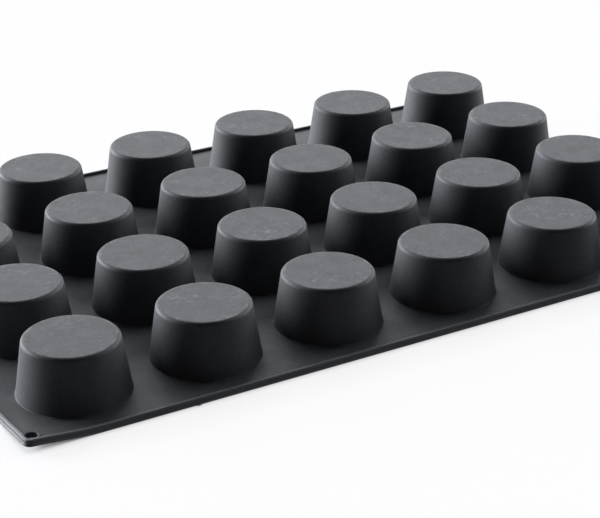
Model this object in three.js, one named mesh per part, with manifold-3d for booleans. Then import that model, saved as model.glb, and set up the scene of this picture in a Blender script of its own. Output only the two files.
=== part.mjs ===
// Silicone muffin mould in the 600 x 400 mm bakery-tray size, lying on its mouths as it is stored.
// The frame: origin in the middle of the mat on the resting plane, +X along the six columns of cups,
// +Y along the four rows, +Z up through the cup floors. Millimetres.
// The real mould is one piece of silicone. Here it is divided where it bends: stiff columns of cups,
// joined by the thin strips of web between them, which act as living hinges.
import * as THREE from "three";
import { mergeVertices } from "three/addons/utils/BufferGeometryUtils.js";
import Module from "manifold-3d";

// Layout of the cups
const COLUMNS = 6;
const ROWS = 4;
const CUP_GAP_X = 19.6; // between neighbouring cup walls at the web, along X
const CUP_GAP_Y = 17.6; // the same along Y
const CUP_MARGIN = 18.8; // from the outer cup walls to the edge of the mat

// One cup, outside sizes
const CUP_HEIGHT = 41.7; // from the resting plane to the cup floor's outer face
const CUP_BASE_RADIUS = 38.7; // where the wall meets the web
const CUP_TOP_RADIUS = 32.6; // where the wall would meet the floor, before the edge is rounded
const CUP_WALL = 2.2;
const CUP_FLOOR = 2.2;
const CUP_EDGE_ROUND = 2.8; // round between wall and floor, outside
const CUP_FOOT_FILLET = 1.0; // fillet between wall and web
const CUP_COLLAR = 1.0; // flat ring of web that belongs to the cup, outside the fillet

// Web, rim bead and hanging eyes
const WEB = 2.2;
const WEB_LAND = 1.5; // web left on a panel beside the cup's collar
const RIM_WIDTH = 4.4;
const RIM_HEIGHT = 4.3;
const RIM_ROUND = 1.6; // rounding of the bead's upper edges
const RIM_UPPER_FACE = 0.25; // upright outer face between that rounding and the parting line
const RIM_PARTING_STEP = 0.25; // how far the lower half of the bead stands out at the parting line
const RIM_INNER_RADIUS = 0.8; // corner radius of the bead's inner edge
const EYE_RADIUS = 4.2; // hanging hole in each corner
const EYE_EDGE = 3.6; // from the hole to the two edges of the mat beside it
const EYE_WALL = 2.2; // collar round the hole
const EYE_HEIGHT = 3.4; // top of that collar, just under the bead's crown

const JOIN_GAP = 0.3; // between pieces that are one moulding on the real mould
const FACETS = 24; // sides of every round form
const CORNER_STEPS = 5; // facets in each corner of the mat
const ROUND_STEPS = 2; // facets across a rounded edge or fillet
const CUT_MARGIN = 5; // how far a cutting tool reaches past what it cuts
const WELD = 1e-4; // vertices closer than this are one

// Derived sizes
const PITCH_X = 2 * CUP_BASE_RADIUS + CUP_GAP_X;
const PITCH_Y = 2 * CUP_BASE_RADIUS + CUP_GAP_Y;
const MAT_LENGTH = (COLUMNS - 1) * PITCH_X + 2 * (CUP_BASE_RADIUS + CUP_MARGIN);
const MAT_WIDTH = (ROWS - 1) * PITCH_Y + 2 * (CUP_BASE_RADIUS + CUP_MARGIN);
const COLLAR_RADIUS = CUP_BASE_RADIUS + CUP_FOOT_FILLET + CUP_COLLAR;
const CUP_HOLE_RADIUS = COLLAR_RADIUS + JOIN_GAP;
const PANEL_HALF = CUP_HOLE_RADIUS + WEB_LAND;
const FLEX_WIDTH = PITCH_X - 2 * PANEL_HALF - 2 * JOIN_GAP;
const RIM_OUTER_RADIUS = RIM_INNER_RADIUS + RIM_WIDTH;
const RIM_PARTING_HEIGHT = RIM_HEIGHT - RIM_ROUND - RIM_UPPER_FACE - RIM_PARTING_STEP;
const EYE_INSET = EYE_EDGE + EYE_RADIUS;

const columnX = (column) => (column - (COLUMNS - 1) / 2) * PITCH_X;
const rowY = (row) => (row - (ROWS - 1) / 2) * PITCH_Y;
const foldX = (fold) => columnX(fold) + PITCH_X / 2;

const silicone = new THREE.MeshStandardMaterial({ color: "#303133", roughness: 0.55, metalness: 0 });

const wasm = await Module();
wasm.setup();

// A closed geometry as a solid that can be joined and cut.
function solidOf(geometry) {
  const bare = new THREE.BufferGeometry();
  bare.setAttribute("position", geometry.getAttribute("position").clone());
  if (geometry.index) bare.setIndex(geometry.index.clone());
  const merged = mergeVertices(bare, WELD);
  return new wasm.Manifold(
    new wasm.Mesh({
      numProp: 3,
      vertProperties: new Float32Array(merged.attributes.position.array),
      triVerts: new Uint32Array(merged.index.array),
    }),
  );
}

// A solid back as a geometry.
function geometryOf(solid) {
  const mesh = solid.getMesh();
  const geometry = new THREE.BufferGeometry();
  geometry.setAttribute("position", new THREE.BufferAttribute(new Float32Array(mesh.vertProperties), 3));
  geometry.setIndex(new THREE.BufferAttribute(new Uint32Array(mesh.triVerts), 1));
  geometry.computeVertexNormals();
  return geometry;
}

// The points of an arc of the given radius that rounds the corner between two straight lines.
function roundedCorner(before, corner, after, radius, steps) {
  const back = before.clone().sub(corner).normalize();
  const ahead = after.clone().sub(corner).normalize();
  const halfAngle = Math.acos(back.dot(ahead)) / 2;
  const middle = back.clone().add(ahead).normalize();
  const centre = corner.clone().addScaledVector(middle, radius / Math.sin(halfAngle));
  const start = corner.clone().addScaledVector(back, radius / Math.tan(halfAngle)).sub(centre);
  const end = corner.clone().addScaledVector(ahead, radius / Math.tan(halfAngle)).sub(centre);
  const sweep = Math.atan2(start.cross(end), start.dot(end));
  return Array.from({ length: steps + 1 }, (_, i) =>
    start.clone().rotateAround(new THREE.Vector2(), (sweep * i) / steps).add(centre),
  );
}

// A profile of (radius, height) points turned about +Z. It starts on the axis and goes round back to it.
function turned(profile) {
  return new THREE.LatheGeometry(profile, FACETS).rotateX(Math.PI / 2);
}

// A plain round tool or boss standing on the axis.
function drum(radius, low, high) {
  return turned([
    new THREE.Vector2(0, low),
    new THREE.Vector2(radius, low),
    new THREE.Vector2(radius, high),
    new THREE.Vector2(0, high),
  ]);
}

// One cup, open downwards: floor on top, drafted wall, fillet and a narrow collar of web round its mouth.
function cupGeometry() {
  const draft = (CUP_BASE_RADIUS - CUP_TOP_RADIUS) / (CUP_HEIGHT - WEB);
  const innerRadius = (height) => CUP_BASE_RADIUS - draft * (height - WEB) - CUP_WALL;
  const innerTop = CUP_HEIGHT - CUP_FLOOR;
  const top = new THREE.Vector2(CUP_TOP_RADIUS, CUP_HEIGHT);
  const foot = new THREE.Vector2(CUP_BASE_RADIUS, WEB);
  const floorMiddle = new THREE.Vector2(0, CUP_HEIGHT);
  const collarEdge = new THREE.Vector2(COLLAR_RADIUS, WEB);
  return turned([
    new THREE.Vector2(0, innerTop),
    new THREE.Vector2(innerRadius(innerTop), innerTop),
    new THREE.Vector2(innerRadius(0), 0),
    new THREE.Vector2(COLLAR_RADIUS, 0),
    collarEdge,
    ...roundedCorner(collarEdge, foot, top, CUP_FOOT_FILLET, ROUND_STEPS),
    ...roundedCorner(foot, top, floorMiddle, CUP_EDGE_ROUND, ROUND_STEPS),
    floorMiddle,
  ]);
}

// The mat's outline drawn in by an inset, as one loop of points; its corners keep the same number of points.
function matOutline(inset) {
  const radius = RIM_OUTER_RADIUS - inset;
  const halfLength = MAT_LENGTH / 2 - RIM_OUTER_RADIUS;
  const halfWidth = MAT_WIDTH / 2 - RIM_OUTER_RADIUS;
  const corners = [
    [halfLength, halfWidth],
    [-halfLength, halfWidth],
    [-halfLength, -halfWidth],
    [halfLength, -halfWidth],
  ];
  return corners.flatMap(([x, y], corner) =>
    Array.from({ length: CORNER_STEPS + 1 }, (_, step) => {
      const angle = ((corner + step / CORNER_STEPS) * Math.PI) / 2;
      return new THREE.Vector2(x + radius * Math.cos(angle), y + radius * Math.sin(angle));
    }),
  );
}

// The bead round the edge: its section, given as (inset, height) points, carried round the outline.
function rimGeometry() {
  const section = [
    new THREE.Vector2(0, 0),
    new THREE.Vector2(0, RIM_PARTING_HEIGHT),
    new THREE.Vector2(RIM_PARTING_STEP, RIM_PARTING_HEIGHT + RIM_PARTING_STEP),
    new THREE.Vector2(RIM_PARTING_STEP, RIM_HEIGHT - RIM_ROUND),
    new THREE.Vector2(RIM_PARTING_STEP + RIM_ROUND, RIM_HEIGHT),
    new THREE.Vector2(RIM_WIDTH - RIM_ROUND, RIM_HEIGHT),
    new THREE.Vector2(RIM_WIDTH, RIM_HEIGHT - RIM_ROUND),
    new THREE.Vector2(RIM_WIDTH, 0),
  ];
  const loops = section.map((point) => matOutline(point.x).map((p) => [p.x, p.y, point.y]));
  const around = loops[0].length;
  const index = [];
  loops.forEach((_, i) => {
    const next = (i + 1) % loops.length;
    for (let j = 0; j < around; j++) {
      const k = (j + 1) % around;
      const [a, b, c, d] = [i * around + j, i * around + k, next * around + k, next * around + j];
      index.push(a, b, c, a, c, d);
    }
  });
  const geometry = new THREE.BufferGeometry();
  geometry.setAttribute("position", new THREE.Float32BufferAttribute(loops.flat(2), 3));
  geometry.setIndex(index);
  return geometry;
}

// The whole mat without its cups: web, bead and corner eyes, with a round hole where each cup sits.
function matSolid() {
  const webShape = new THREE.Shape(matOutline(RIM_WIDTH / 2));
  let mat = solidOf(new THREE.ExtrudeGeometry(webShape, { depth: WEB, bevelEnabled: false }));
  mat = mat.add(solidOf(rimGeometry()));
  for (const [sideX, sideY] of [[1, 1], [-1, 1], [-1, -1], [1, -1]]) {
    const x = sideX * (MAT_LENGTH / 2 - EYE_INSET);
    const y = sideY * (MAT_WIDTH / 2 - EYE_INSET);
    mat = mat.add(solidOf(drum(EYE_RADIUS + EYE_WALL, 0, EYE_HEIGHT).translate(x, y, 0)));
    mat = mat.subtract(solidOf(drum(EYE_RADIUS, -CUT_MARGIN, RIM_HEIGHT + CUT_MARGIN).translate(x, y, 0)));
  }
  const hole = drum(CUP_HOLE_RADIUS, -CUT_MARGIN, WEB + CUT_MARGIN);
  for (let column = 0; column < COLUMNS; column++) {
    for (let row = 0; row < ROWS; row++) {
      mat = mat.subtract(solidOf(hole.clone().translate(columnX(column), rowY(row), 0)));
    }
  }
  return mat;
}

// The slice of the mat between two places along X.
function matSlice(mat, from, to) {
  const slab = new THREE.BoxGeometry(to - from, MAT_WIDTH + 2 * CUT_MARGIN, RIM_HEIGHT + 2 * CUT_MARGIN);
  return geometryOf(mat.intersect(solidOf(slab.translate((from + to) / 2, 0, RIM_HEIGHT / 2))));
}

function piece(name, geometry) {
  const mesh = new THREE.Mesh(geometry, silicone);
  mesh.name = name;
  return mesh;
}

const mould = new THREE.Group();
const mat = matSolid();
const cup = cupGeometry();

// Six columns: a web panel with its stretches of bead, and a cup in each of its holes.
for (let column = 0; column < COLUMNS; column++) {
  const x = columnX(column);
  const from = column === 0 ? -MAT_LENGTH : x - PANEL_HALF;
  const to = column === COLUMNS - 1 ? MAT_LENGTH : x + PANEL_HALF;
  const stiffColumn = new THREE.Group();
  stiffColumn.position.x = x;
  stiffColumn.add(piece(`web_panel_${column + 1}`, matSlice(mat, from, to).translate(-x, 0, 0)));
  for (let row = 0; row < ROWS; row++) {
    const mesh = piece(`cup_${column + 1}${"abcd"[row]}`, cup);
    mesh.position.y = rowY(row);
    stiffColumn.add(mesh);
  }
  mould.add(stiffColumn);
}

// The strips of web and bead between the columns, where the mat bends.
for (let fold = 0; fold < COLUMNS - 1; fold++) {
  const x = foldX(fold);
  const strip = piece(
    `flex_strip_${fold + 1}`,
    matSlice(mat, x - FLEX_WIDTH / 2, x + FLEX_WIDTH / 2).translate(-x, 0, 0),
  );
  strip.position.x = x;
  mould.add(strip);
}

export default mould;
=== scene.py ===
"""A charcoal silicone muffin mould in the bakery-tray size, lying on the mouths of its cups.

The real mould is one moulding. Its cups, the stiff panels of web round them and the strips of web that
bend between the columns are modelled as separate pieces that meet edge to edge, each on the CAD node that
it stands for. Everything is in metres, in the CAD frame: +X across the columns, +Y away from the near edge,
+Z up.
"""

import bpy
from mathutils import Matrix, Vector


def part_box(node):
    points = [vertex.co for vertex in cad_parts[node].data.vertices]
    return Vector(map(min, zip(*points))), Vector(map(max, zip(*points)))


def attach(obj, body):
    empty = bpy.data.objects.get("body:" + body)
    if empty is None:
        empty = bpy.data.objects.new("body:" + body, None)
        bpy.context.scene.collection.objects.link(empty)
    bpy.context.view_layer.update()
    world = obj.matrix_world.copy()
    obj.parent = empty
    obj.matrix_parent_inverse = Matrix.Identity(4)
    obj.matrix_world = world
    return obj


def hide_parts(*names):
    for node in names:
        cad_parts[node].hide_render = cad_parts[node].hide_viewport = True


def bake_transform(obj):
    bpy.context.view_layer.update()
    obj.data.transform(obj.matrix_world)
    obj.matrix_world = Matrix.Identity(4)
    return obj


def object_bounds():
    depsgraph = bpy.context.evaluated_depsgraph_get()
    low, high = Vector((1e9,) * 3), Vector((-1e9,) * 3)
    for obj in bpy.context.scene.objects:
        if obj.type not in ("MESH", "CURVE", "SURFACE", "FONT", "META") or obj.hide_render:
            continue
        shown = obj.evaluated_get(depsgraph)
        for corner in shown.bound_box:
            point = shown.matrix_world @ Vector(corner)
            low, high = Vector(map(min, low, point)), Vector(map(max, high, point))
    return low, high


bl_info = {
    "name": "Silicone Muffin Mould",
    "version": (1, 0, 0),
    "blender": (4, 5, 0),
    "location": "View3D > Sidebar > Mould",
    "description": "Models a flexible silicone muffin mould on its CAD frame, with a plain studio stage",
    "category": "Add Mesh",
}

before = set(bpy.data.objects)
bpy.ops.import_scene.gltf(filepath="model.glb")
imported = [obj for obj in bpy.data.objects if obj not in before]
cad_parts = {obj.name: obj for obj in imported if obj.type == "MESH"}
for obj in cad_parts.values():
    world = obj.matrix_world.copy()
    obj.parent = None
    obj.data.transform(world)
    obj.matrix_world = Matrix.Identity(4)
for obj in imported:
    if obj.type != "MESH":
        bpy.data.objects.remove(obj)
CAD_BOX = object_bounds()

import math

import bmesh
import bpy
from bpy.props import FloatProperty, FloatVectorProperty, IntProperty, PointerProperty
from mathutils import Matrix, Vector

MM = 0.001
COLUMNS = range(1, 7)
FOLDS = range(1, 6)
ROWS = "abcd"
PICTURE_WIDTH = 600  # pixels, the photograph's own width
SENSOR_WIDTH = 36.0  # millimetres
SMOOTH_ANGLE = math.radians(40)
SLIVER = 0.005 * MM
PAST = 1 * MM  # how far a cutting tool reaches past the face that it cuts
EYE_STEPS = 48
CURL_CUTS = 10
BEND_CUTS = 14
WEAR_AND_HIGHLIGHT = 0.16  # share of the dust colour where the skin is rubbed, scuffed or given a painted highlight
BEAD_WEAR_AND_LIGHT = 1.1  # wear and painted light of the bead, against those of the cups' edges
FOOT_HIGHLIGHT = 0.8  # painted highlight along the cups' feet, likewise
FLOOR_SIZE = 30.0  # metres
FLOOR_GAP = 0.1 * MM  # keeps the floor clear of the mould's underside
AIR_LIGHT = 0.02  # the world's own light on the mould
SWEEP_FULL = 0.05  # sine of the height at which the paper sweep in reflections starts to fade
SWEEP_END = 0.2  # and at which it ends
# Name, azimuth from the camera's view direction to the right, elevation, strength, spread; angles in degrees
LAMPS = (
    ("left_strip_back", -50, 10, 3.5, 26),
    ("left_strip", -64, 10, 3.8, 26),
    ("left_strip_front", -78, 10, 1.2, 26),
    ("right_strip", 50, 10, 1.8, 26),
    ("right_softbox", 50, 30, 0.95, 30),
    ("right_fill", 105, 10, 0.3, 30),
    ("back_left", -25, 28, 1.2, 30),
    ("back_softbox", 0, 28, 1.0, 30),
    ("back_right", 24, 14, 0.55, 30),
    ("top_softbox", 0, 55, 0.3, 30),
)
CUP_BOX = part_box("cup_1a")
STRIP_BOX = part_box("flex_strip_1")


def linear(hex_colour):
    """An sRGB hex colour as the linear values that shaders take."""
    levels = [int(hex_colour[i : i + 2], 16) / 255 for i in (1, 3, 5)]
    return tuple(v / 12.92 if v <= 0.04045 else ((v + 0.055) / 1.055) ** 2.4 for v in levels)


def length(name, description, default):
    """A length property in metres, shown in the scene's unit."""
    return FloatProperty(
        name=name, description=description, default=default, min=0, unit="LENGTH", precision=5
    )


class MouldSizes(bpy.types.PropertyGroup):
    """Sizes of the mould's pieces. What the CAD frame gives comes from there."""

    cup_height: length("Cup height", "Resting plane to the outside of a cup floor", CUP_BOX[1].z)
    cup_base_radius: length("Cup base radius", "Outer wall where it meets the web", 38.7 * MM)
    cup_top_radius: length("Cup top radius", "Outer wall at the floor, before the edge is rounded", 32.6 * MM)
    cup_wall: length("Cup wall", "Wall thickness of a cup", 2.2 * MM)
    cup_floor: length("Cup floor", "Thickness of a cup floor", 2.2 * MM)
    cup_edge_round: length("Edge round", "Round between wall and floor, outside", 2.6 * MM)
    cup_inner_round: length("Inner round", "Round between wall and floor, inside", 3.5 * MM)
    cup_foot_fillet: length("Foot fillet", "Fillet between wall and web", 0.5 * MM)
    cup_mouth_round: length("Mouth round", "Round of the mouth's edge", 0.8 * MM)
    collar_radius: length(
        "Collar radius", "Ring of web that belongs to a cup", (CUP_BOX[1].x - CUP_BOX[0].x) / 2
    )
    web: length("Web", "Thickness of the mat between the cups", 2.2 * MM)
    rim_height: length("Rim height", "Crown of the bead round the mat", STRIP_BOX[1].z)
    rim_width: length("Rim width", "Width of the bead", 4.4 * MM)
    rim_round: length("Rim round", "Rounding of the bead's crown", 1.5 * MM)
    rim_foot: length("Rim foot", "Softened lower edge of the bead", 0.35 * MM)
    lip_height: length("Lip height", "Upright face of the lip at the foot of the bead", 0.9 * MM)
    lip_reach: length("Lip reach", "How far that lip stands out, and how high its slope is", 0.9 * MM)
    corner_round: length("Corner round", "Radius of the mat's corners", 5.2 * MM)
    eye_radius: length("Eye radius", "Hanging hole in each corner", 4.2 * MM)
    eye_inset_x: length("Eye inset X", "From the middle of the hole to the short edge beside it", 7.2 * MM)
    eye_inset_y: length("Eye inset Y", "From the middle of the hole to the long edge beside it", 8.5 * MM)
    eye_wall: length("Eye collar", "Width of the collar round the hole", 2.2 * MM)
    eye_height: length("Eye height", "Top of the collar round the hole", 4.1 * MM)
    corner_lift: length("Corner lift", "How far the near left corner curls up", 3.6 * MM)
    corner_reach: length("Curl reach", "How far that curl reaches into the mat", 52 * MM)
    flash_length: length("Flash length", "Nub of flash on the near edge, along that edge", 3.6 * MM)
    flash_reach: length("Flash reach", "How far that nub stands out", 1.2 * MM)
    flash_place: FloatProperty(
        name="Flash place",
        description="Where that nub is along X",
        default=-180 * MM,
        unit="LENGTH",
        precision=5,
    )
    round_steps: IntProperty(name="Round steps", description="Sides of a cup", default=96, min=24)


class MouldFinish(bpy.types.PropertyGroup):
    """Colours and surface of the silicone."""

    charcoal: FloatVectorProperty(
        name="Charcoal",
        description="Colour of the pigmented silicone",
        subtype="COLOR",
        default=linear("#3D3E41"),
    )
    charcoal_worn: FloatVectorProperty(
        name="Worn charcoal",
        description="Slightly greyer patches, where it was handled and washed",
        subtype="COLOR",
        default=linear("#484A4D"),
    )
    # Also the colour of the painted highlights on the cups' edges, the bead and the cups' feet
    dust_and_highlight: FloatVectorProperty(
        name="Dust",
        description="Flour dust and scuffs on the cup floors",
        subtype="COLOR",
        default=linear("#B4B6B9"),
    )
    roughness: FloatProperty(
        name="Roughness", description="Satin of the moulded skin", default=0.6, min=0, max=1
    )
    refraction: FloatProperty(
        name="IOR", description="Refractive index of silicone rubber", default=1.41, min=1
    )
    specular: FloatProperty(
        name="Specular", description="How much of its shine the matt skin keeps", default=0.29, min=0
    )


class StudioStage(bpy.types.PropertyGroup):
    """Floor, light and camera."""

    floor_colour: FloatVectorProperty(
        name="Floor", description="White paper floor", subtype="COLOR", default=linear("#FDFDFE")
    )
    floor_bounce: FloatVectorProperty(
        name="Floor bounce",
        description="Colour of the floor in the light that it throws back on the mould",
        subtype="COLOR",
        default=linear("#343435"),
    )
    floor_glow: FloatProperty(
        name="Floor glow",
        description="Share of the floor's white that shadows don't reach",
        default=0.96,
        min=0,
        max=1,
    )
    contact_glow: FloatProperty(
        name="Contact glow",
        description="That share where the mould rests, and along its edge",
        default=0.84,
        min=0,
        max=1,
    )
    contact_reach: length("Contact reach", "Gap over the floor below which it goes dark", 6 * MM)
    shadow_reach: length("Shadow reach", "Distance from the mould at which its shadow ends", 45 * MM)
    light_colour: FloatVectorProperty(
        name="Light", description="Slightly cool daylight", subtype="COLOR", default=linear("#F8FBFF")
    )
    camera_place: FloatVectorProperty(
        name="Camera place",
        description="Where the camera stands",
        subtype="TRANSLATION",
        unit="LENGTH",
        default=(-0.6340, -1.1308, 0.5791),
    )
    camera_yaw: FloatProperty(
        name="Yaw", description="Turn from +Y towards +X", subtype="ANGLE", default=math.radians(29.68)
    )
    camera_pitch: FloatProperty(
        name="Pitch", description="Tilt below the horizon", subtype="ANGLE", default=math.radians(24.72)
    )
    camera_roll: FloatProperty(
        name="Roll", description="Clockwise turn of the camera", subtype="ANGLE", default=math.radians(0.687)
    )
    focal_pixels: FloatProperty(
        name="Focal length", description="Focal length in pixels of the picture", default=1821.2, min=1
    )


def activate(piece):
    """Makes one object the only selected one, and the active one."""
    bpy.ops.object.select_all(action="DESELECT")
    piece.select_set(True)
    bpy.context.view_layer.objects.active = piece


def pick(piece, kind, test):
    """In edit mode, selects the vertices, edges or faces that pass the test, and nothing else."""
    bpy.ops.mesh.select_mode(type={"verts": "VERT", "edges": "EDGE", "faces": "FACE"}[kind])
    bpy.ops.mesh.select_all(action="DESELECT")
    mesh = bmesh.from_edit_mesh(piece.data)
    chosen = [item for item in getattr(mesh, kind) if test(item)]
    if not chosen:
        raise RuntimeError(f"nothing to select among the {kind} of {piece.name}")
    for item in chosen:
        item.select_set(True)
    mesh.select_flush_mode()
    bmesh.update_edit_mesh(piece.data)


def near(a, b, tolerance=0.02 * MM):
    """Whether two lengths are the same, but for rounding."""
    return abs(a - b) < tolerance


def radius_of(vertex):
    """How far a vertex is from the axis at the origin."""
    return math.hypot(vertex.co.x, vertex.co.y)


def on_ring(radius, height):
    """A test for the edges that lie on a ring about +Z."""
    return lambda edge: all(near(radius_of(v), radius) and near(v.co.z, height) for v in edge.verts)


def move_up(distance):
    """Extrudes what is selected straight up, or down."""
    bpy.ops.mesh.extrude_region_move(TRANSFORM_OT_translate={"value": (0, 0, distance)})


def turned_piece(name, profile, steps):
    """A ring at the profile's first (radius, height) point, extruded and scaled to the others, with caps."""
    (radius, height), *others = profile
    bpy.ops.object.select_all(action="DESELECT")
    bpy.ops.mesh.primitive_circle_add(vertices=steps, radius=radius, location=(0, 0, height))
    piece = bpy.context.object
    piece.name = name
    bpy.ops.object.transform_apply(location=True, rotation=True, scale=True)
    bpy.ops.object.mode_set(mode="EDIT")
    bpy.ops.mesh.select_mode(type="EDGE")
    bpy.ops.mesh.select_all(action="SELECT")
    for next_radius, next_height in others:
        move_up(next_height - height)
        scale = next_radius / radius
        bpy.ops.transform.resize(value=(scale, scale, 1), center_override=(0, 0, next_height))
        radius, height = next_radius, next_height
    for ring in (profile[0], profile[-1]):
        pick(piece, "edges", lambda edge, ring=ring: edge.is_boundary and on_ring(*ring)(edge))
        bpy.ops.mesh.edge_face_add()
    bpy.ops.mesh.select_all(action="SELECT")
    bpy.ops.mesh.normals_make_consistent(inside=False)
    bpy.ops.object.mode_set(mode="OBJECT")
    return piece


def towards(start, end, distance):
    """The point at a distance from start on the line to end."""
    start, end = Vector(start), Vector(end)
    return tuple(start + (end - start).normalized() * distance)


def soften_ring(piece, ring, offset, steps):
    """Bevels the ring of edges at a (radius, height) point into a round."""
    pick(piece, "edges", on_ring(*ring))
    bpy.ops.mesh.bevel(offset=offset, segments=steps, profile=0.5, affect="EDGES")


def model_cup(sizes):
    """One cup about the axis at the origin, open downwards, with a flat collar that meets the web."""
    draft = (sizes.cup_base_radius - sizes.cup_top_radius) / (sizes.cup_height - sizes.web)
    ceiling = sizes.cup_height - sizes.cup_floor

    def inside(height):
        return sizes.cup_base_radius - draft * (height - sizes.web) - sizes.cup_wall

    roof = (inside(ceiling), ceiling)
    mouth = (inside(0), 0.0)
    foot = (sizes.cup_base_radius, sizes.web)
    top = (sizes.cup_top_radius, sizes.cup_height)
    hold = 1.0 * MM  # rings this far past a round keep it from bending the shading of the flat wall
    profile = [
        roof,
        towards(roof, mouth, sizes.cup_inner_round + hold),
        towards(mouth, roof, sizes.cup_mouth_round + hold),
        mouth,
        (sizes.collar_radius, 0.0),
        (sizes.collar_radius, sizes.web),
        foot,
        towards(foot, top, sizes.cup_foot_fillet + hold),
        towards(top, foot, sizes.cup_edge_round + hold),
        top,
    ]
    cup = turned_piece("cup", profile, sizes.round_steps)
    bpy.ops.object.mode_set(mode="EDIT")
    soften_ring(cup, top, sizes.cup_edge_round, steps=8)
    soften_ring(cup, foot, sizes.cup_foot_fillet, steps=4)
    soften_ring(cup, mouth, sizes.cup_mouth_round, steps=4)
    soften_ring(cup, roof, sizes.cup_inner_round, steps=6)
    pick(cup, "faces", lambda face: len(face.verts) == sizes.round_steps)
    bpy.ops.mesh.inset(thickness=hold, use_individual=True)
    bpy.ops.object.mode_set(mode="OBJECT")
    bpy.ops.object.shade_smooth_by_angle(angle=SMOOTH_ANGLE)
    return cup


def copy_to(piece, name, place):
    """A copy with its own mesh, moved to a place that is then in its mesh."""
    activate(piece)
    bpy.ops.object.duplicate(linked=False)
    copy = bpy.context.object
    copy.name = name
    copy.data.name = name
    bpy.ops.transform.translate(value=place)
    bpy.ops.object.transform_apply(location=True, rotation=True, scale=True)
    return copy


def remove(*pieces):
    """Deletes objects that were only needed to shape others."""
    for piece in pieces:
        bpy.data.objects.remove(piece)


def cut_or_join(piece, tool, operation):
    """Applies a boolean with a tool object, and removes the tool."""
    activate(piece)
    bpy.ops.object.modifier_add(type="BOOLEAN")
    boolean = piece.modifiers[-1]
    boolean.operation = operation
    boolean.solver = "EXACT"
    boolean.object = tool
    bpy.ops.object.modifier_apply(modifier=boolean.name)
    remove(tool)


def weld_slivers(piece):
    """Merges the points and drops the faces without area that booleans leave where surfaces nearly touch."""
    activate(piece)
    bpy.ops.object.mode_set(mode="EDIT")
    bpy.ops.mesh.select_all(action="SELECT")
    bpy.ops.mesh.remove_doubles(threshold=SLIVER)
    bpy.ops.mesh.dissolve_degenerate(threshold=SLIVER)
    bpy.ops.object.mode_set(mode="OBJECT")


def joined(pieces):
    """Several objects as one."""
    activate(pieces[0])
    for piece in pieces[1:]:
        piece.select_set(True)
    bpy.ops.object.join()
    return bpy.context.object


def centre_of(node):
    """The middle of a node's box, on the resting plane."""
    low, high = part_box(node)
    return Vector(((low.x + high.x) / 2, (low.y + high.y) / 2, 0))


def cup_names():
    """The cups' nodes, column by column, each from the near row to the far one."""
    return [f"cup_{column}{row}" for column in COLUMNS for row in ROWS]


def eye_places(sizes):
    """Where the hanging holes are, in from the two edges of each corner."""
    low, high = CAD_BOX
    across = (low.x + sizes.eye_inset_x, high.x - sizes.eye_inset_x)
    along = (low.y + sizes.eye_inset_y, high.y - sizes.eye_inset_y)
    return [Vector((x, y, 0)) for x in across for y in along]


def at_each(piece, places):
    """Copies of a tool at several places, joined into one, in place of the tool."""
    copies = [copy_to(piece, f"{piece.name}_{i}", place) for i, place in enumerate(places)]
    remove(piece)
    return joined(copies)


def model_mat(sizes):
    """The whole mat without its cups: web, bead and corner eyes, with a round hole for each cup.

    Panels and strips are sliced from it, so it is modelled once and kept until the strips are done.
    """
    if "mat" in bpy.data.objects:
        return bpy.data.objects["mat"]
    low, high = CAD_BOX
    bpy.ops.object.select_all(action="DESELECT")
    bpy.ops.mesh.primitive_plane_add(size=1)
    mat = bpy.context.object
    mat.name = "mat"
    bpy.ops.object.mode_set(mode="EDIT")
    bpy.ops.mesh.select_all(action="SELECT")
    bpy.ops.transform.resize(value=(high.x - low.x, high.y - low.y, 1))
    bpy.ops.mesh.bevel(offset=sizes.corner_round, segments=6, affect="VERTICES")
    bpy.ops.mesh.select_all(action="SELECT")
    move_up(sizes.lip_height)
    bpy.ops.mesh.inset(thickness=sizes.lip_reach, depth=sizes.lip_reach)
    move_up(sizes.rim_height - sizes.lip_height - sizes.lip_reach)
    bpy.ops.mesh.inset(thickness=sizes.rim_width - sizes.lip_reach)
    move_up(sizes.web - sizes.rim_height)

    def sharp_at(height):
        """A test for the sharp edges at a height."""
        return lambda edge: (
            all(near(v.co.z, height) for v in edge.verts) and edge.calc_face_angle(0) > SMOOTH_ANGLE
        )

    pick(mat, "edges", sharp_at(sizes.rim_height))
    bpy.ops.mesh.bevel(offset=sizes.rim_round, segments=6, profile=0.5, affect="EDGES")
    pick(mat, "edges", sharp_at(0))
    bpy.ops.mesh.bevel(offset=sizes.rim_foot, segments=2, profile=0.5, affect="EDGES")
    bpy.ops.object.mode_set(mode="OBJECT")

    collar_top = sizes.eye_height
    collar_radius = sizes.eye_radius + sizes.eye_wall
    sunk = 0.3 * MM  # the collar starts inside the web, clear of the underside
    soft = 0.9 * MM
    collar = turned_piece(
        "eye_collar",
        [(collar_radius, sunk), (collar_radius, collar_top - soft), (collar_radius - soft, collar_top)],
        EYE_STEPS,
    )
    cut_or_join(mat, at_each(collar, eye_places(sizes)), "UNION")
    flare = 0.4 * MM
    drill = turned_piece(
        "eye_drill",
        [
            (sizes.eye_radius, -PAST),
            (sizes.eye_radius, collar_top - flare),
            (sizes.eye_radius + 0.3 * flare, collar_top - 0.3 * flare),
            (sizes.eye_radius + flare, collar_top),
            (sizes.eye_radius + flare, sizes.rim_height + PAST),
        ],
        EYE_STEPS,
    )
    cut_or_join(mat, at_each(drill, eye_places(sizes)), "DIFFERENCE")
    punch_top = 10 * MM
    hole = [(sizes.collar_radius, -PAST), (sizes.collar_radius, punch_top)]
    punch = turned_piece("cup_punch", hole, sizes.round_steps)
    cut_or_join(mat, at_each(punch, [centre_of(name) for name in cup_names()]), "DIFFERENCE")
    weld_slivers(mat)
    return mat


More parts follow.
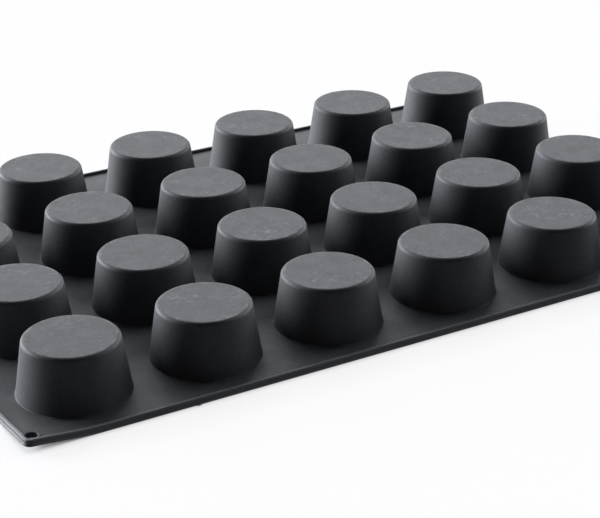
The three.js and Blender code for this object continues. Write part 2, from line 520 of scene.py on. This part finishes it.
def slice_of(mat, name, start, end, cuts=1):
    """The stretch of the mat between two places along X, closed at both ends, with cuts where it bends."""
    piece = copy_to(mat, name, (0, 0, 0))
    bpy.ops.object.mode_set(mode="EDIT")
    low, high = CAD_BOX
    if not near(start, low.x):
        bpy.ops.mesh.select_all(action="SELECT")
        bpy.ops.mesh.bisect(plane_co=(start, 0, 0), plane_no=(1, 0, 0), use_fill=True, clear_inner=True)
    if not near(end, high.x):
        bpy.ops.mesh.select_all(action="SELECT")
        bpy.ops.mesh.bisect(plane_co=(end, 0, 0), plane_no=(1, 0, 0), use_fill=True, clear_outer=True)
    for i in range(1, cuts):
        bpy.ops.mesh.select_all(action="SELECT")
        bpy.ops.mesh.bisect(plane_co=(start + (end - start) * i / cuts, 0, 0), plane_no=(1, 0, 0))
    bpy.ops.object.mode_set(mode="OBJECT")
    bpy.ops.object.shade_smooth_by_angle(angle=SMOOTH_ANGLE)
    return piece


def cut_corner(piece, sizes):
    """Cuts lines across the near left corner, so that it can curl."""
    low, _ = CAD_BOX
    activate(piece)
    bpy.ops.object.mode_set(mode="EDIT")
    for i in range(1, CURL_CUTS + 1):
        reach = sizes.corner_reach * i / CURL_CUTS
        for place, normal in (((low.x + reach, 0, 0), (1, 0, 0)), ((0, low.y + reach, 0), (0, 1, 0))):
            bpy.ops.mesh.select_all(action="SELECT")
            bpy.ops.mesh.bisect(plane_co=place, plane_no=normal)
    bpy.ops.object.mode_set(mode="OBJECT")
    bpy.ops.object.shade_smooth_by_angle(angle=SMOOTH_ANGLE)


def draw_out_flash(piece, sizes):
    """A nub of flash on the near edge, where the moulding tool's halves didn't quite close."""
    low, _ = CAD_BOX
    start, end = sizes.flash_place - sizes.flash_length / 2, sizes.flash_place + sizes.flash_length / 2
    bottom, top = sizes.rim_foot, sizes.lip_height

    def on_near_face(face):
        return face.normal.y < -0.99 and near(face.calc_center_median().y, low.y)

    activate(piece)
    bpy.ops.object.mode_set(mode="EDIT")
    for place, normal in (
        ((start, 0, 0), (1, 0, 0)),
        ((end, 0, 0), (1, 0, 0)),
        ((0, 0, bottom), (0, 0, 1)),
        ((0, 0, top), (0, 0, 1)),
    ):
        pick(piece, "faces", on_near_face)
        bpy.ops.mesh.bisect(plane_co=place, plane_no=normal)

    def on_flash(face):
        centre = face.calc_center_median()
        return on_near_face(face) and start < centre.x < end and bottom < centre.z < top

    pick(piece, "faces", on_flash)
    bpy.ops.mesh.extrude_region_move(TRANSFORM_OT_translate={"value": (0, -sizes.flash_reach, 0)})
    taper = (0.6, 1, 0.5)
    bpy.ops.transform.resize(value=taper)
    bpy.ops.object.mode_set(mode="OBJECT")


def curl_corner(piece, sizes):
    """Lifts what lies near the mat's near left corner, as the corner of the thin mat curls."""
    low, _ = CAD_BOX
    corner = Vector((low.x, low.y, 0))
    ends = []
    for lift in (0, sizes.corner_lift):
        bpy.ops.object.empty_add(location=corner + Vector((0, 0, lift)))
        ends.append(bpy.context.object)
    activate(piece)
    bpy.ops.object.modifier_add(type="WARP")
    warp = piece.modifiers[-1]
    warp.object_from, warp.object_to = ends
    warp.falloff_type = "SMOOTH"
    warp.falloff_radius = sizes.corner_reach
    bpy.ops.object.modifier_apply(modifier=warp.name)
    remove(*ends)


def finish_piece(piece, node, body=None):
    """Gives a piece its material, hides the CAD part that it stands for and, unless it bends, attaches it to
    what it moves with.
    """
    piece.data.materials.clear()
    piece.data.materials.append(moulded_silicone())
    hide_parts(node)
    if body:
        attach(piece, body)


def add_node(tree, kind, inputs=None, **settings):
    """Adds one node. Inputs are socket values, outputs to link, or nodes whose first output is linked."""
    node = tree.nodes.new(kind)
    for name, value in settings.items():
        setattr(node, name, value)
    for socket, value in (inputs or {}).items():
        if isinstance(value, bpy.types.Node):
            value = next(output for output in value.outputs if output.enabled)
        if isinstance(value, bpy.types.NodeSocket):
            tree.links.new(value, node.inputs[socket])
        else:
            node.inputs[socket].default_value = value
    return node


def moulded_silicone():
    """Pigmented silicone rubber, compression moulded in a satin steel tool."""
    # It gives the eye a matt charcoal skin that goes pale at a glancing angle, with fine mottling, faint
    # clouds, a painted highlight along the cups' feet, soft scuffs on the cup floors, and wear with painted
    # highlights on their edges and on the bead.
    name = "moulded_silicone"
    if name in bpy.data.materials:
        return bpy.data.materials[name]
    finish = bpy.context.scene.mould_finish
    sizes = bpy.context.scene.mould_sizes
    material = bpy.data.materials.new(name)
    material.use_nodes = True
    tree = material.node_tree
    tree.nodes.clear()
    smooth = {"interpolation_type": "SMOOTHSTEP"}
    place = add_node(tree, "ShaderNodeTexCoord").outputs["Object"]
    height = add_node(tree, "ShaderNodeSeparateXYZ", {0: place}).outputs["Z"]

    # Distance from the axis of the nearest cup
    first = centre_of("cup_1a")
    half = (centre_of("cup_2b") - first) / 2 + Vector((0, 0, 1))
    cell = add_node(tree, "ShaderNodeVectorMath", {0: place, 1: first}, operation="SUBTRACT")
    cell = add_node(tree, "ShaderNodeVectorMath", {0: cell, 1: half, 2: -half}, operation="WRAP")
    cell = add_node(tree, "ShaderNodeVectorMath", {0: cell, 1: (1, 1, 0)}, operation="MULTIPLY")
    radius = add_node(tree, "ShaderNodeVectorMath", {0: cell}, operation="LENGTH")

    # Where the flat of a cup floor ends, and how the pale ring there comes and goes. The ring is partly
    # wear and partly a painted highlight of the rounded edge
    top = sizes.cup_height
    on_floor = {0: height, "From Min": top - 0.3 * MM, "From Max": top - 0.1 * MM}
    on_floor = add_node(tree, "ShaderNodeMapRange", on_floor, **smooth)
    flat_radius = sizes.cup_top_radius - sizes.cup_edge_round
    off_edge = add_node(tree, "ShaderNodeMath", {0: radius, 1: flat_radius}, operation="SUBTRACT")
    off_edge = add_node(tree, "ShaderNodeMath", {0: off_edge}, operation="ABSOLUTE")
    edge = {0: off_edge, "From Min": 0.1 * MM, "From Max": 0.8 * MM, "To Min": 1, "To Max": 0}
    edge = add_node(tree, "ShaderNodeMapRange", edge, **smooth)
    high_up = {0: height, "From Min": top - 1.2 * MM, "From Max": top - 0.5 * MM}
    high_up = add_node(tree, "ShaderNodeMapRange", high_up, **smooth)
    edge = add_node(tree, "ShaderNodeMath", {0: edge, 1: high_up}, operation="MULTIPLY")
    patches = add_node(tree, "ShaderNodeTexNoise", {"Vector": place, "Scale": 1 / (7 * MM), "Detail": 5})
    patches = add_node(tree, "ShaderNodeMapRange", {0: patches, "From Min": 0.46, "From Max": 0.68}, **smooth)
    # Wear and painted highlight on the cups' edges, in patches
    rubbed_and_highlit = add_node(tree, "ShaderNodeMath", {0: edge, 1: patches}, operation="MULTIPLY")

    # The outer side of the bead: rubbed where the mould is held and stacked, and lightened further as a
    # painted highlight on its crown and face
    rub_start = CAD_BOX[1] - Vector((1, 1, 0)) * 0.8 * sizes.rim_width
    outwards = add_node(tree, "ShaderNodeVectorMath", {0: place}, operation="ABSOLUTE")
    outwards = add_node(tree, "ShaderNodeVectorMath", {0: outwards, 1: rub_start}, operation="SUBTRACT")
    outwards = add_node(tree, "ShaderNodeSeparateXYZ", {0: outwards}).outputs
    outwards = add_node(tree, "ShaderNodeMath", {0: outwards["X"], 1: outwards["Y"]}, operation="MAXIMUM")
    bead = add_node(tree, "ShaderNodeMapRange", {0: outwards, "From Max": 0.5 * MM}, **smooth)
    # Adds the bead's wear and painted highlight
    rubbed_and_highlit = add_node(tree, "ShaderNodeMath", {0: bead, 1: BEAD_WEAR_AND_LIGHT, 2: rubbed_and_highlit}, operation="MULTIPLY_ADD")

    # A painted highlight, in patches, along the corner between wall and web
    foot = {0: radius, 1: sizes.cup_base_radius, 2: 0.5 * MM}
    foot = add_node(tree, "ShaderNodeMath", foot, operation="COMPARE")
    on_web = add_node(tree, "ShaderNodeMath", {0: height, 1: sizes.web, 2: 0.5 * MM}, operation="COMPARE")
    foot = add_node(tree, "ShaderNodeMath", {0: foot, 1: on_web}, operation="MULTIPLY")
    foot = add_node(tree, "ShaderNodeMath", {0: foot, 1: patches}, operation="MULTIPLY")
    # Adds the painted highlight at the feet
    rubbed_and_highlit = add_node(tree, "ShaderNodeMath", {0: foot, 1: FOOT_HIGHLIGHT, 2: rubbed_and_highlit}, operation="MULTIPLY_ADD")

    # Specks of flour and soft scuffs, on the cup floors only
    crumbs = add_node(tree, "ShaderNodeTexVoronoi", {"Vector": place, "Scale": 1 / (6 * MM)}).outputs
    chosen = add_node(tree, "ShaderNodeSeparateColor", {0: crumbs["Color"]})
    chosen = add_node(tree, "ShaderNodeMapRange", {0: chosen, "From Min": 0.7, "From Max": 0.95}, **smooth)
    specks = {0: crumbs["Distance"], "From Min": 0.05, "From Max": 0.13, "To Min": 1, "To Max": 0}
    specks = add_node(tree, "ShaderNodeMapRange", specks, **smooth)
    specks = add_node(tree, "ShaderNodeMath", {0: specks, 1: chosen}, operation="MULTIPLY")
    drawn_out = add_node(tree, "ShaderNodeVectorMath", {0: place, 1: (0.7, 1.1, 1)}, operation="MULTIPLY")
    strokes = {"Vector": drawn_out, "Scale": 1 / (4 * MM), "Detail": 5, "Distortion": 1.2}
    strokes = add_node(tree, "ShaderNodeTexNoise", strokes)
    strokes = add_node(tree, "ShaderNodeMapRange", {0: strokes, "From Min": 0.48, "From Max": 0.78}, **smooth)
    rubs = add_node(tree, "ShaderNodeTexNoise", {"Vector": place, "Scale": 1 / (32 * MM), "Detail": 3})
    rubs = add_node(tree, "ShaderNodeMapRange", {0: rubs, "From Min": 0.45, "From Max": 0.65}, **smooth)
    scuffs = add_node(tree, "ShaderNodeMath", {0: strokes, 1: rubs}, operation="MULTIPLY")
    dusty = add_node(tree, "ShaderNodeMath", {0: specks, 1: scuffs}, operation="MAXIMUM")
    dusty = add_node(tree, "ShaderNodeMath", {0: dusty, 1: on_floor}, operation="MULTIPLY")
    dusty = add_node(tree, "ShaderNodeMath", {0: dusty, 1: WEAR_AND_HIGHLIGHT}, operation="MULTIPLY")
    # The dust colour's share: real dust, scuffs and wear, plus the painted highlights on edges, bead and feet
    pale = add_node(tree, "ShaderNodeMath", {0: rubbed_and_highlit, 1: WEAR_AND_HIGHLIGHT, 2: dusty}, operation="MULTIPLY_ADD")

    # Clouds and fine mottling of the skin
    cloud = add_node(tree, "ShaderNodeTexNoise", {"Vector": place, "Scale": 1 / (14 * MM), "Detail": 3})
    mottle = add_node(tree, "ShaderNodeTexNoise", {"Vector": place, "Scale": 1 / (1.7 * MM), "Detail": 4})
    shade = add_node(tree, "ShaderNodeMix", {0: 0.6, 2: cloud, 3: mottle})
    shade = add_node(tree, "ShaderNodeMapRange", {0: shade, "From Min": 0.28, "From Max": 0.72}, **smooth)
    skin = {"Factor": shade, 6: (*finish.charcoal, 1), 7: (*finish.charcoal_worn, 1)}
    skin = add_node(tree, "ShaderNodeMix", skin, data_type="RGBA")
    colour = {"Factor": pale, 6: skin, 7: (*finish.dust_and_highlight, 1)}
    colour = add_node(tree, "ShaderNodeMix", colour, data_type="RGBA")
    satin = {0: shade, "To Min": 1.07 * finish.roughness, "To Max": 0.93 * finish.roughness}
    satin = add_node(tree, "ShaderNodeMapRange", satin)

    # The satin of the steel tool. Its real grain of about 0.05 mm is drawn coarser, so that it shows
    pits = add_node(tree, "ShaderNodeTexNoise", {"Vector": place, "Scale": 1 / (1.4 * MM), "Detail": 2})
    grain = add_node(tree, "ShaderNodeBump", {"Height": pits, "Strength": 0.14, "Distance": 0.1 * MM})
    rubber = add_node(
        tree,
        "ShaderNodeBsdfPrincipled",
        {
            "Base Color": colour,
            "Roughness": satin,
            "IOR": finish.refraction,
            "Specular IOR Level": finish.specular,
            "Normal": grain,
        },
    )
    add_node(tree, "ShaderNodeOutputMaterial", {"Surface": rubber})
    return material


class MOULD_OT_cups(bpy.types.Operator):
    """Model one cup and set a copy on every cup of the frame"""

    bl_idname = "mould.cups"
    bl_label = "Cups"

    def execute(self, context):
        cup = model_cup(context.scene.mould_sizes)
        for name in cup_names():
            copy = copy_to(cup, f"{name}_skin", centre_of(name))
            if name == "cup_1a":
                curl_corner(copy, context.scene.mould_sizes)
            finish_piece(copy, name, f"column_{name[4]}")
        remove(cup)
        return {"FINISHED"}


class MOULD_OT_web_panels(bpy.types.Operator):
    """Model the mat and slice off the stiff panel of each column of cups"""

    bl_idname = "mould.web_panels"
    bl_label = "Web panels"

    def execute(self, context):
        sizes = context.scene.mould_sizes
        mat = model_mat(sizes)
        for column in COLUMNS:
            node = f"web_panel_{column}"
            low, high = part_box(node)
            panel = slice_of(mat, f"{node}_skin", low.x, high.x)
            if column == COLUMNS[0]:
                cut_corner(panel, sizes)
                curl_corner(panel, sizes)
            if column == COLUMNS[1]:
                draw_out_flash(panel, sizes)
            finish_piece(panel, node, f"column_{column}")
        return {"FINISHED"}


class MOULD_OT_flex_strips(bpy.types.Operator):
    """Slice off the strips of web between the columns, cut across so that they can bend"""

    bl_idname = "mould.flex_strips"
    bl_label = "Flex strips"

    def execute(self, context):
        mat = model_mat(context.scene.mould_sizes)
        for fold in FOLDS:
            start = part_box(f"web_panel_{fold}")[1].x
            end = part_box(f"web_panel_{fold + 1}")[0].x
            strip = slice_of(mat, f"flex_strip_{fold}_skin", start, end, cuts=BEND_CUTS)
            finish_piece(strip, f"flex_strip_{fold}")
            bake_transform(strip)
        remove(mat)
        return {"FINISHED"}


def sun(name, azimuth, elevation, strength, spread):
    """A soft light far away, in the direction that its angles give."""
    stage = bpy.context.scene.mould_stage
    heading = stage.camera_yaw + math.radians(azimuth)
    height = math.radians(elevation)
    level = math.cos(height)
    away = Vector((math.sin(heading) * level, math.cos(heading) * level, math.sin(height)))
    bpy.ops.object.light_add(type="SUN", rotation=away.to_track_quat("Z", "Y").to_euler())
    lamp = bpy.context.object
    lamp.name = name
    lamp.data.color = stage.light_colour
    lamp.data.energy = strength
    lamp.data.angle = math.radians(spread)


class MOULD_OT_stage(bpy.types.Operator):
    """Set up the camera, the white floor and the soft light"""

    bl_idname = "mould.stage"
    bl_label = "Studio stage"

    def execute(self, context):
        stage = context.scene.mould_stage
        self.add_camera(stage)
        self.add_floor(stage)
        self.add_light(context.scene)
        context.scene.view_settings.view_transform = "Standard"
        return {"FINISHED"}

    def add_camera(self, stage):
        """A camera at the photograph's place, from its yaw, pitch and roll."""
        yaw, pitch = stage.camera_yaw, stage.camera_pitch
        ahead = Vector((math.sin(yaw) * math.cos(pitch), math.cos(yaw) * math.cos(pitch), -math.sin(pitch)))
        level = ahead.to_track_quat("-Z", "Y").to_matrix()
        turn = Matrix.Rotation(-stage.camera_roll, 3, "Z")
        bpy.ops.object.camera_add(location=stage.camera_place, rotation=(level @ turn).to_euler())
        camera = bpy.context.object
        camera.name = "photo_camera"
        camera.data.sensor_width = SENSOR_WIDTH
        camera.data.lens = stage.focal_pixels * SENSOR_WIDTH / PICTURE_WIDTH
        bpy.context.scene.camera = camera

    def add_floor(self, stage):
        """White paper that the eye sees nearly unshaded, but that throws little light back on the mould."""
        bpy.ops.object.select_all(action="DESELECT")
        bpy.ops.mesh.primitive_plane_add(size=FLOOR_SIZE, location=(0, 0, -FLOOR_GAP))
        floor = bpy.context.object
        floor.name = "floor"
        paper = bpy.data.materials.new("white_paper")
        paper.use_nodes = True
        tree = paper.node_tree
        tree.nodes.clear()
        ray = add_node(tree, "ShaderNodeLightPath").outputs
        seen = {0: ray["Is Camera Ray"], 1: ray["Is Glossy Ray"]}
        seen = add_node(tree, "ShaderNodeMath", seen, operation="MAXIMUM")
        seen = {0: seen, 1: ray["Is Transmission Ray"]}
        seen = add_node(tree, "ShaderNodeMath", seen, operation="MAXIMUM")
        dim = add_node(tree, "ShaderNodeBsdfDiffuse", {"Color": (*stage.floor_bounce, 1)})
        white = add_node(tree, "ShaderNodeBsdfDiffuse", {"Color": (*stage.floor_colour, 1)})
        glow = add_node(tree, "ShaderNodeEmission", {"Color": (*stage.floor_colour, 1), "Strength": 1.0})

        # Distance outwards from the mould's outline, and the share of the glow there
        place = add_node(tree, "ShaderNodeTexCoord").outputs["Object"]
        beside = add_node(tree, "ShaderNodeVectorMath", {0: place}, operation="ABSOLUTE")
        beside = add_node(tree, "ShaderNodeVectorMath", {0: beside, 1: CAD_BOX[1]}, operation="SUBTRACT")
        beside = add_node(tree, "ShaderNodeVectorMath", {0: beside, 1: (0, 0, 0)}, operation="MAXIMUM")
        away = add_node(tree, "ShaderNodeVectorMath", {0: beside}, operation="LENGTH")
        share = {
            0: away,
            "From Max": stage.shadow_reach,
            "To Min": stage.contact_glow,
            "To Max": stage.floor_glow,
        }
        share = add_node(tree, "ShaderNodeMapRange", share, interpolation_type="SMOOTHSTEP")

        # Dark where the mould is close above the floor, at any pose
        open_air = {"Distance": stage.contact_reach}
        open_air = add_node(tree, "ShaderNodeAmbientOcclusion", open_air, samples=8).outputs["AO"]
        share = add_node(tree, "ShaderNodeMath", {0: share, 1: open_air}, operation="MULTIPLY")

        # Reflections show the floor beside the mould as plain white, and stay dark under it
        outside = add_node(tree, "ShaderNodeMath", {0: away, 1: 0}, operation="GREATER_THAN")
        share = add_node(tree, "ShaderNodeMix", {0: ray["Is Glossy Ray"], 2: share, 3: outside})
        sheet = add_node(tree, "ShaderNodeMixShader", {0: share, 1: white, 2: glow})
        sheet = add_node(tree, "ShaderNodeMixShader", {0: seen, 1: dim, 2: sheet})
        add_node(tree, "ShaderNodeOutputMaterial", {"Surface": sheet})
        floor.data.materials.append(paper)

    def add_light(self, scene):
        """Strip lights low on both sides and soft ones behind, as the photograph's shading shows them."""
        for lamp in LAMPS:
            sun(*lamp)
        world = bpy.data.worlds.new("studio_air")
        world.use_nodes = True
        tree = world.node_tree
        tree.nodes.clear()
        # White to the eye. Reflections show it as a low paper sweep, so that it adds no light from above
        ray = add_node(tree, "ShaderNodeLightPath").outputs
        upwards = add_node(tree, "ShaderNodeTexCoord").outputs["Generated"]
        upwards = add_node(tree, "ShaderNodeSeparateXYZ", {0: upwards}).outputs["Z"]
        sweep = {0: upwards, "From Min": SWEEP_FULL, "From Max": SWEEP_END, "To Min": 1, "To Max": 0}
        sweep = add_node(tree, "ShaderNodeMapRange", sweep, interpolation_type="SMOOTHSTEP")
        sweep = {0: sweep, 1: ray["Is Glossy Ray"]}
        sweep = add_node(tree, "ShaderNodeMath", sweep, operation="MULTIPLY")
        seen = {0: ray["Is Camera Ray"], 1: ray["Is Transmission Ray"]}
        seen = add_node(tree, "ShaderNodeMath", seen, operation="MAXIMUM")
        seen = add_node(tree, "ShaderNodeMath", {0: seen, 1: sweep}, operation="MAXIMUM")
        strength = add_node(tree, "ShaderNodeMapRange", {0: seen, "To Min": AIR_LIGHT, "To Max": 1.0})
        air = add_node(tree, "ShaderNodeBackground", {"Color": (1, 1, 1, 1), "Strength": strength})
        add_node(tree, "ShaderNodeOutputWorld", {"Surface": air})
        scene.world = world


class MOULD_PT_sidebar(bpy.types.Panel):
    """The mould's steps and settings in the sidebar"""

    bl_label = "Muffin Mould"
    bl_idname = "MOULD_PT_sidebar"
    bl_space_type = "VIEW_3D"
    bl_region_type = "UI"
    bl_category = "Mould"

    def draw(self, context):
        for step in STEPS:
            self.layout.operator(step.bl_idname)
        for group in SETTINGS:
            box = self.layout.box()
            settings = getattr(context.scene, group)
            for name in settings.__annotations__:
                box.prop(settings, name)


STEPS = (MOULD_OT_stage, MOULD_OT_cups, MOULD_OT_web_panels, MOULD_OT_flex_strips)
SETTINGS = {"mould_sizes": MouldSizes, "mould_finish": MouldFinish, "mould_stage": StudioStage}
CLASSES = (*SETTINGS.values(), *STEPS, MOULD_PT_sidebar)


def register():
    for item in CLASSES:
        bpy.utils.register_class(item)
    for name, group in SETTINGS.items():
        setattr(bpy.types.Scene, name, PointerProperty(type=group))


def unregister():
    for name in SETTINGS:
        delattr(bpy.types.Scene, name)
    for item in reversed(CLASSES):
        bpy.utils.unregister_class(item)


def main():
    register()
    bpy.ops.mould.stage()
    bpy.ops.mould.cups()
    bpy.ops.mould.web_panels()
    bpy.ops.mould.flex_strips()


if __name__ == "__main__":
    main()
